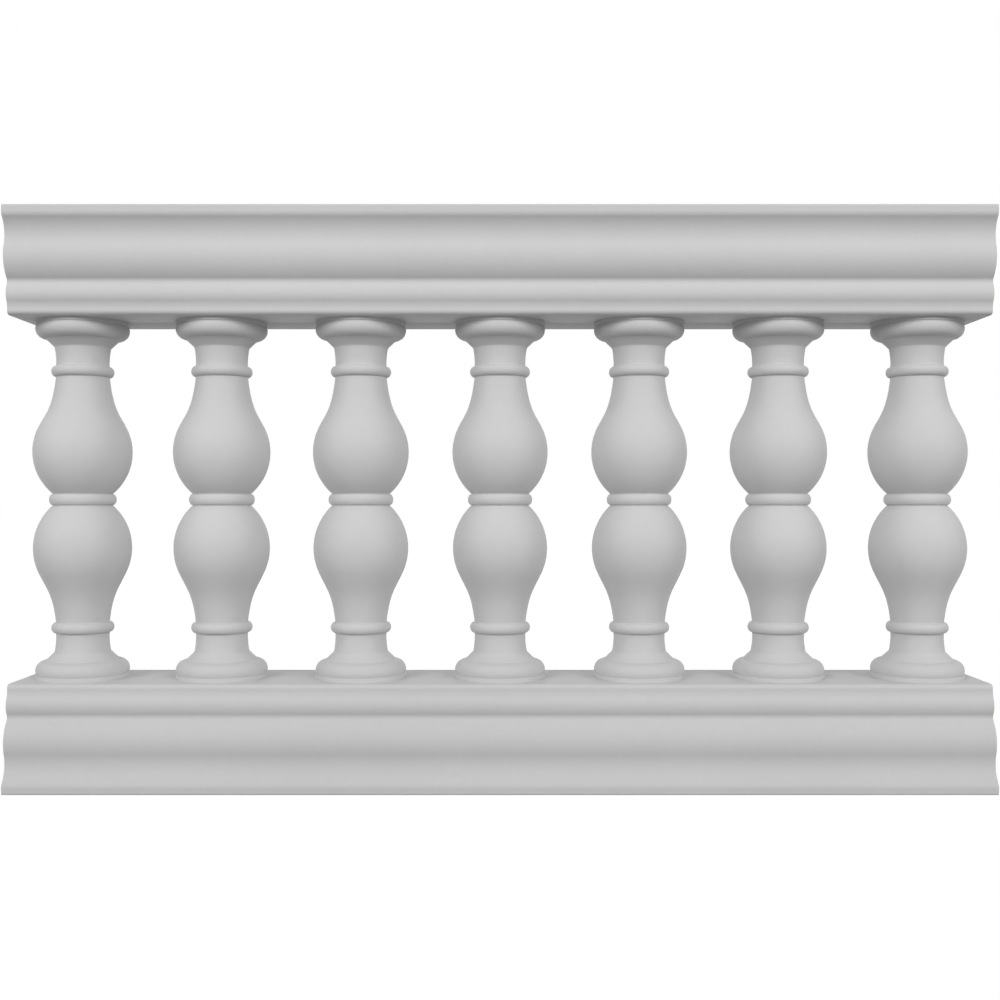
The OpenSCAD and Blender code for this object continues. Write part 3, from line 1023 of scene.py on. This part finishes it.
# %% Sizes of the end plates
end_low, end_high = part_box("top_plate_right")
steel_half = end_high.y
steel_height = end_high.z - end_low.z
steel_corner = 8 * MM
bolt_radius = 5.5 * MM
bolt_spread = 35 * MM
bolt_rise = 22 * MM
bolt_middle = 78 * MM
weld_nut_height = 8 * MM
weld_nut_flats = 1.55 * 2 * bolt_radius
weld_nut_bore = bolt_radius - 0.3 * MM
weld_nut_thread = 0.8 * MM
steel_thick = end_high.x - end_low.x - weld_nut_height


def steel_outline(ease):
    """The plate stands on its straight edge and has rounded corners above."""
    side = steel_half - ease
    centre = (steel_half - steel_corner, steel_height - steel_corner)
    right = np.vstack([[(side, ease)], arc(centre, steel_corner - ease, 0, 90)])
    return np.vstack([right, (right * (-1, 1))[::-1]])


# %% Build and place the four
def end_plate(name, end, base, up):
    """end is 1 at the right and -1 at the left, and up is -1 in the bottom rail."""
    bolts = [(y, bolt_middle + v)
             for y in (-bolt_spread, bolt_spread) for v in (-bolt_rise, bolt_rise)]
    mesh = plate(name, [steel_outline, *[hole_line(b, bolt_radius) for b in bolts]], steel_thick)
    nut = nut_mesh("weld_nut", weld_nut_flats, weld_nut_height, weld_nut_bore, weld_nut_thread)
    nuts = joined("weld_nuts", nut, [Matrix.Translation((*b, -weld_nut_height)) for b in bolts])
    whole = joined(name, mesh, [Matrix.Identity(4)])
    shape = bmesh.new()
    shape.from_mesh(whole)
    shape.from_mesh(nuts)
    for vertex in shape.verts:
        y, v, w = vertex.co
        vertex.co = (end * (rail_length / 2 - steel_thick + w), y, base + up * v)
    bmesh.ops.recalc_face_normals(shape, faces=shape.faces)
    shape.to_mesh(whole)
    shape.free()
    return whole


rail_floors = (("top", above(plate_thick), 1), ("bottom", below(plate_thick), -1))
for side, end in (("left", -1), ("right", 1)):
    for rail, base, up in rail_floors:
        name = f"{rail}_end_plate_{side}"
        place(name, end_plate(name, end, base, up), f"{rail}_plate_{side}", "zinc_steel", zinc)

# %% [markdown]
# ## The channels
# The folded channels that lie in the rails already have their true shape in the CAD model, with
# round bends and drilled holes, so they stay. They only need the zinc.

# %% Galvanise the channels
for node in ("top_channel", "bottom_channel"):
    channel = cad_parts[node]
    channel.data.materials.clear()
    channel.data.materials.append(zinc)
print("channels keep their CAD shape")

# %% [markdown]
# ## Light
# A matt grey thing on white needs two big soft lamps in front and a bright room. Wide sun lamps
# stand for the first two: they light the long rail evenly from end to end, where area lamps
# would fall off, and because they stand well apart, they reach round the sides of the
# balusters. A weaker one, low behind, gives the back some shape, and is kept out of
# reflections so that it makes no glare on the deck. The world is the room. Its light is the
# same from all sides, and what the camera sees of it is plain white.

# %% The lamps
KEY_AZIMUTH = 41
KEY_ELEVATION = 22.3
KEY_LIGHT = 0.42
KEY_WIDTH = 25
FILL_ELEVATION = 8
FILL_LIGHT = 0.13


def sun(name, azimuth, elevation, light):
    """A soft sun lamp. light is how bright a white surface that faces it becomes."""
    lamp = bpy.data.lights.new(name, "SUN")
    lamp.energy = light * math.pi
    lamp.angle = math.radians(KEY_WIDTH)
    holder = bpy.data.objects.new(name, lamp)
    holder.rotation_euler = (math.radians(90 - elevation), 0, math.radians(azimuth))
    bpy.context.scene.collection.objects.link(holder)
    return holder


for side, azimuth in (("left", -KEY_AZIMUTH), ("right", KEY_AZIMUTH)):
    sun(f"key_{side}", azimuth, KEY_ELEVATION, KEY_LIGHT)
back_fill = sun("back_fill", 180, FILL_ELEVATION, FILL_LIGHT)
back_fill.visible_glossy = False
print(f"two keys {KEY_AZIMUTH} degrees to either side, {KEY_ELEVATION} up; one fill behind")

# %% The room
ROOM_LIGHT = 0.41


def seen_ray(tree):
    """An output that is 1 for rays from the camera, off metal or through glass, and else 0."""
    path = tree.nodes.new("ShaderNodeLightPath")
    value = path.outputs["Is Camera Ray"]
    for name in ("Is Glossy Ray", "Is Transmission Ray"):
        larger = tree.nodes.new("ShaderNodeMath")
        larger.operation = "MAXIMUM"
        tree.links.new(value, larger.inputs[0])
        tree.links.new(path.outputs[name], larger.inputs[1])
        value = larger.outputs[0]
    return value


world = bpy.data.worlds.new("room")
world.use_nodes = True
bpy.context.scene.world = world
room = world.node_tree
strength = room.nodes.new("ShaderNodeMapRange")
strength.inputs["To Min"].default_value = ROOM_LIGHT
strength.inputs["To Max"].default_value = 1
room.links.new(seen_ray(room), strength.inputs["Value"])
background = room.nodes["Background"]
background.inputs["Color"].default_value = (1, 1, 1, 1)
room.links.new(strength.outputs["Result"], background.inputs["Strength"])
print(f"the room lights with {ROOM_LIGHT} and looks white")

# %% [markdown]
# ## Floor
# The section stands on a plain white floor. To the eye the floor is nearly all glow, so that it
# runs into the white of the room, with a share of true matt paint in which the shadow
# of the object falls. The two add up to white wherever the room and one of the key lamps reach
# the floor, so only the close shadow at the foot shows. The light that the floor throws back
# at the object is that of a plain light grey one. It lies a fifth of a millimetre low, so that
# it never shares a plane with the underside of the rail.

# %% A wide disc under the section
FLOOR_RADIUS = 30
FLOOR_AROUND = 96
FLOOR_GAP = 0.2 * MM

floor_mesh = bpy.data.meshes.new("floor")
rim = circle((0, 0), FLOOR_RADIUS, FLOOR_AROUND)
floor_mesh.from_pydata([(x, y, cad_low.z - FLOOR_GAP) for x, y in rim], [],
                       [list(range(len(rim)))])
floor = bpy.data.objects.new("floor", floor_mesh)
bpy.context.scene.collection.objects.link(floor)
floor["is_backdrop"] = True
print(f"floor {FLOOR_GAP / MM:.1f} mm below the section")

# %% Its white paint
FLOOR_GREY = 0.4
SHADOW_SHARE = 0.15
floor_light = ROOM_LIGHT + KEY_LIGHT * math.sin(math.radians(KEY_ELEVATION))
paint = bpy.data.materials.new("white_floor")
paint.use_nodes = True
tree = paint.node_tree
tree.nodes.clear()
matt = tree.nodes.new("ShaderNodeBsdfDiffuse")
matt.inputs["Color"].default_value = (*(FLOOR_GREY,) * 3, 1)
shaded = tree.nodes.new("ShaderNodeBsdfDiffuse")
shaded.inputs["Color"].default_value = (*(SHADOW_SHARE,) * 3, 1)
glow = tree.nodes.new("ShaderNodeEmission")
glow.inputs["Strength"].default_value = 1 - SHADOW_SHARE * floor_light
both = tree.nodes.new("ShaderNodeAddShader")
tree.links.new(shaded.outputs[0], both.inputs[0])
tree.links.new(glow.outputs[0], both.inputs[1])
choice = tree.nodes.new("ShaderNodeMixShader")
tree.links.new(seen_ray(tree), choice.inputs[0])
tree.links.new(matt.outputs[0], choice.inputs[1])
tree.links.new(both.outputs[0], choice.inputs[2])
output = tree.nodes.new("ShaderNodeOutputMaterial")
tree.links.new(choice.outputs[0], output.inputs["Surface"])
floor_mesh.materials.append(paint)
print(f"floor glow {glow.inputs['Strength'].default_value:.3f}")

# %% [markdown]
# ## Flag
# In a studio a flag, a black cloth on a stand, keeps light off a part of the object. One long
# flag, waist high and well in front, takes a little of both key lamps off the bottom rail. The
# lamps are wide and it stands far off, so its shadow has no edge. Only shadow rays meet it, so
# it is neither seen nor mirrored.

# %% The flag
FLAG_DISTANCE = 3
FLAG_TOP = 1.16
FLAG_REACH = 6
flag_mesh = bpy.data.meshes.new("flag")
flag_mesh.from_pydata([(x, -FLAG_DISTANCE, cad_low.z + z)
                       for x, z in ((-FLAG_REACH, 0), (FLAG_REACH, 0),
                                    (FLAG_REACH, FLAG_TOP), (-FLAG_REACH, FLAG_TOP))],
                      [], [(0, 1, 2, 3)])
flag = bpy.data.objects.new("flag", flag_mesh)
bpy.context.scene.collection.objects.link(flag)
for ray in ("camera", "diffuse", "glossy", "transmission", "volume_scatter"):
    setattr(flag, f"visible_{ray}", False)
flag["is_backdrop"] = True
print(f"flag: {FLAG_TOP} m high, {FLAG_DISTANCE} m in front")

# %% [markdown]
# ## Camera
# The camera looks at the middle of the section squarely, from two metres away and at half its
# height, so that the soffit and the deck both show as narrow bands.

# %% The camera
CAMERA_DISTANCE = 1.9872
CAMERA_HEIGHT = 0.4510
CAMERA_LENS = 44.316
SEES_AS_FAR = 200
camera = bpy.data.objects.new("camera", bpy.data.cameras.new("camera"))
camera.data.lens = CAMERA_LENS
camera.data.clip_end = SEES_AS_FAR
camera.location = (0, -CAMERA_DISTANCE, CAMERA_HEIGHT)
camera.rotation_euler = (math.radians(90), 0, 0)
bpy.context.scene.collection.objects.link(camera)
bpy.context.scene.camera = camera
bpy.context.scene.view_settings.view_transform = "Standard"
print(f"camera {CAMERA_DISTANCE} m away, {CAMERA_HEIGHT} m up, {CAMERA_LENS} mm lens")

# %% [markdown]
# ## Does it still fit?
# The finished pieces are meant to fit within the CAD model. Their box is printed, to set
# beside the CAD box that was printed at the start.

# %% Print the box of the finished pieces
low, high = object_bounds()
print("visual box, m:", [round(b - a, 4) for a, b in zip(low, high)])
